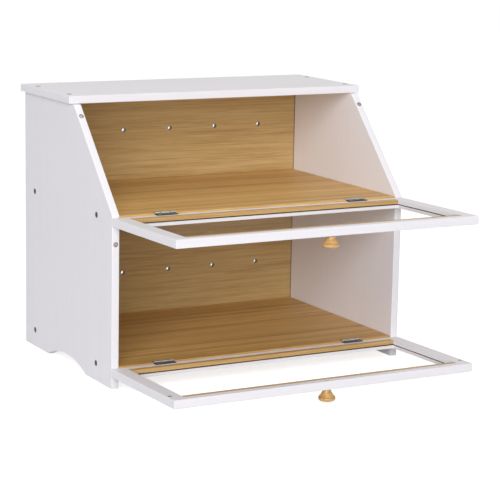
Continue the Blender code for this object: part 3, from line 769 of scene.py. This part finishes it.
def bare_cutter(low, high):
    """A cutter that leaves bare wood where it cuts, at half the bamboo's tone: painted shade in the
    grooves and rebates.
    """
    cutter = box_mesh("cutter", low, high)
    cutter.materials.append(finishes["raw_bamboo_painted_shade"])
    return cutter


def hole_cutter(profile, place):
    bm = bmesh.new()
    add_turned(bm, profile, ROUND_STEPS, Matrix.Translation(place))
    return finished(bm, "hole")


def pane_cutters(label, matrix, inner_low, inner_high):
    """The opening, the rebates that the beads lie in and the groove round the pane."""
    pane_low, pane_high = box_in(f"{label}_pane", matrix)
    past = Vector((0, 0, MM))
    lip = pane_low.z - PANE_SLIP
    cutters = [box_mesh("opening", inner_low - past, inner_high + past)]
    for part in ("hinge", "top"):
        bead_low, bead_high = box_in(f"{label}_{part}_bead", matrix)
        low = (inner_low.x, bead_low.y - GAP, lip)
        high = (inner_high.x, bead_high.y + GAP, inner_high.z + MM)
        cutters.append(bare_cutter(low, high))
    groove_low = (pane_low.x - GAP, pane_low.y - GAP, lip)
    groove_high = (pane_high.x + GAP, pane_high.y + GAP, pane_high.z + PANE_SLIP)
    return cutters + [bare_cutter(groove_low, groove_high)]


def fastener_cutters(label, matrix, thickness):
    """The holes for the discs and for the knob's screw."""
    cutters = []
    for side in SIDES:
        low, high = box_in(f"{label}_{side}_strike", matrix)
        middle = (low + high) / 2
        radius, depth = (high.x - low.x) / 2 + GAP / 2, high.z - low.z + GAP
        profile = [(0.0, MM), (radius, MM), (radius, -depth), (0.0, -depth)]
        cutters.append(hole_cutter(profile, (middle.x, middle.y, high.z)))
    low, high = box_in(f"{label}_knob_screw", matrix)
    middle = (low + high) / 2
    radius, depth = (high.x - low.x) / 2 + GAP, thickness + MM
    narrow = radius * 0.65
    profile = [(0.0, MM), (radius, MM), (radius, -radius / 4), (narrow, -radius), (narrow, -depth),
               (0.0, -depth)]
    return cutters + [hole_cutter(profile, (middle.x, middle.y, high.z))]


def dress_door_frame(tier):
    matrix = door_matrix(tier)
    label = f"{tier}_door"
    parts = ("hinge_rail", "top_rail", "left_stile", "right_stile")
    members = [f"{label}_{part}" for part in parts]
    hinge_rail, top_rail, left, right = (box_in(name, matrix) for name in members)
    low, high = left[0], right[1]
    inner_low = Vector((left[1].x, top_rail[1].y, low.z))
    inner_high = Vector((right[0].x, hinge_rail[0].y, high.z))
    cutters = pane_cutters(label, matrix, inner_low, inner_high)
    cutters += fastener_cutters(label, matrix, high.z - low.z)
    slab = box_mesh(label, low, high)
    slab.materials.append(finishes["white_paint"])
    steps = [("DIFFERENCE", cutter) for cutter in cutters]
    mesh = carved(f"{label}_frame", slab, steps, FRAME_EDGE)
    piece = f"{label}_frame_fine"
    obj = link(piece, mesh, "white_paint", f"{tier}_door", members, matrix)
    level_normals(obj)


# Nodes whose shape is right get their finish

def smooth_by_angle():
    """A modifier that shades shallow edges smooth and keeps the others crisp."""
    group = bpy.data.node_groups.new("smooth_by_angle", "GeometryNodeTree")
    group.interface.new_socket("Geometry", in_out="INPUT", socket_type="NodeSocketGeometry")
    group.interface.new_socket("Geometry", in_out="OUTPUT", socket_type="NodeSocketGeometry")
    entry = group.nodes.new("NodeGroupInput")
    leave = group.nodes.new("NodeGroupOutput")
    angle = group.nodes.new("GeometryNodeInputMeshEdgeAngle")
    shallow = group.nodes.new("FunctionNodeCompare")
    shallow.data_type = "FLOAT"
    shallow.operation = "LESS_THAN"
    shallow.inputs[1].default_value = BOARD_CREASE
    edges = group.nodes.new("GeometryNodeSetShadeSmooth")
    edges.domain = "EDGE"
    faces = group.nodes.new("GeometryNodeSetShadeSmooth")
    group.links.new(angle.outputs["Unsigned Angle"], shallow.inputs[0])
    group.links.new(entry.outputs[0], edges.inputs["Geometry"])
    group.links.new(shallow.outputs[0], edges.inputs["Shade Smooth"])
    group.links.new(edges.outputs[0], faces.inputs["Geometry"])
    group.links.new(faces.outputs[0], leave.inputs[0])
    return group


def dress_boards():
    smoothing = smooth_by_angle()
    looks = {"back_panel": "bamboo_back_painted_shade", "upper_shelf": "bamboo", "lower_shelf": "bamboo",
             "side_panel_left": "upright_paint", "side_panel_right": "upright_paint",
             "top_board": "top_paint"}
    for tier in TIERS:
        for bead in ("hinge_bead", "top_bead"):
            looks[f"{tier}_door_{bead}"] = "bamboo_bead"
        looks[f"{tier}_door_pane"] = "clear_pane"
    for name, finish in looks.items():
        obj = frame["nodes"][name]
        obj.data.materials.clear()
        obj.data.materials.append(finishes[finish])
        weld = obj.modifiers.new("weld", "WELD")
        weld.merge_threshold = 0.002 * MM
        step = obj.modifiers.new("smooth", "NODES")
        step.node_group = smoothing
        level_normals(obj)


# Stage

def unlit_share(tree):
    """One for what the camera sees, in mirrors and through glass too, and nought for light."""
    path = node(tree, "LightPath")
    seen = math_node(tree, "MAXIMUM", path.outputs["Is Camera Ray"], path.outputs["Is Glossy Ray"])
    return math_node(tree, "MAXIMUM", seen, path.outputs["Is Transmission Ray"])


FLOOR_HALF = 30.0
FLOOR_GREY = 0.62
FLOOR_GLOW = 0.80


def dress_floor():
    """A pale floor that looks white and keeps the object's shadow."""
    made, shader, tree = new_material("pale_floor")
    shader.inputs["Base Color"].default_value = (FLOOR_GREY, FLOOR_GREY, FLOOR_GREY, 1)
    shader.inputs["Roughness"].default_value = 0.9
    shader.inputs["Specular IOR Level"].default_value = 0.0
    strength = math_node(tree, "MULTIPLY", unlit_share(tree), FLOOR_GLOW)
    glow = node(tree, "Emission", {"Color": (1, 1, 1, 1), "Strength": strength})
    both = node(tree, "AddShader", {0: shader.outputs[0], 1: glow.outputs[0]})
    tree.links.new(both.outputs[0], tree.nodes["Material Output"].inputs["Surface"])
    bm = bmesh.new()
    corners = [(-FLOOR_HALF, -FLOOR_HALF, 0), (FLOOR_HALF, -FLOOR_HALF, 0),
               (FLOOR_HALF, FLOOR_HALF, 0), (-FLOOR_HALF, FLOOR_HALF, 0)]
    bm.faces.new([bm.verts.new(corner) for corner in corners])
    mesh = bpy.data.meshes.new("floor")
    bm.to_mesh(mesh)
    bm.free()
    mesh.materials.append(made)
    floor = bpy.data.objects.new("floor", mesh)
    bpy.context.scene.collection.objects.link(floor)


def light_world(strength):
    world = bpy.data.worlds.new("studio")
    world.use_nodes = True
    bpy.context.scene.world = world
    tree = world.node_tree
    background = tree.nodes["Background"]
    lit = remapped(tree, unlit_share(tree), 0.0, 1.0, strength, 1.0)
    tree.links.new(lit, background.inputs["Strength"])
    background.inputs["Color"].default_value = (1, 1, 1, 1)


# Each softbox's place, size, power and colour, and the point that all of them face
WORLD_LIGHT = 0.33
LIT_POINT = (0.0, 0.0, 0.15)
SOFTBOXES = {
    "key": ((-2.15, -3.28, 1.60), 2.7, 144.0, (1.0, 0.99, 1.02)),
    "top_fill": ((0.10, -0.10, 2.60), 1.6, 11.0, (1.0, 0.96, 0.86)),
}


def softbox(name, place, size, power, colour):
    data = bpy.data.lights.new(name, "AREA")
    data.shape = "SQUARE"
    data.size = size
    data.energy = power
    data.color = colour
    lamp = bpy.data.objects.new(name, data)
    bpy.context.scene.collection.objects.link(lamp)
    lamp.location = place
    way = Vector(LIT_POINT) - Vector(place)
    lamp.rotation_euler = way.to_track_quat("-Z", "Y").to_euler()


def place_lights():
    light_world(WORLD_LIGHT)
    for name, settings in SOFTBOXES.items():
        softbox(name, *settings)


# The camera that the photograph's lines give, in the frame's own places
LENS = 134.22
CAMERA = (-1.013055, -1.845677, 0.535085)
YAW, PITCH, ROLL = math.radians(-29.006), math.radians(10.801), math.radians(1.115)


def place_camera():
    data = bpy.data.cameras.new("camera")
    data.lens = LENS
    data.sensor_width = 36.0
    data.clip_start, data.clip_end = 0.05, 200.0
    camera = bpy.data.objects.new("camera", data)
    bpy.context.scene.collection.objects.link(camera)
    level = math.cos(PITCH)
    forward = Vector((-math.sin(YAW) * level, math.cos(YAW) * level, -math.sin(PITCH)))
    right = Vector((math.cos(YAW), math.sin(YAW), 0))
    up = right.cross(forward)
    local_x = math.cos(ROLL) * right + math.sin(ROLL) * up
    local_y = -math.sin(ROLL) * right + math.cos(ROLL) * up
    turn = Matrix((local_x, local_y, -forward)).transposed()
    camera.matrix_world = Matrix.Translation(CAMERA) @ turn.to_4x4()
    bpy.context.scene.camera = camera


def dress_doors():
    for tier in TIERS:
        dress_door_frame(tier)
        dress_knob(tier)
        dress_knob_screw(tier)
        dress_strikes(tier)
        for side in SIDES:
            dress_hinge(tier, side)


bpy.context.scene.view_settings.view_transform = "Standard"
dress_boards()
dress_screws()
dress_magnets()
dress_doors()
dress_floor()
place_lights()
place_camera()
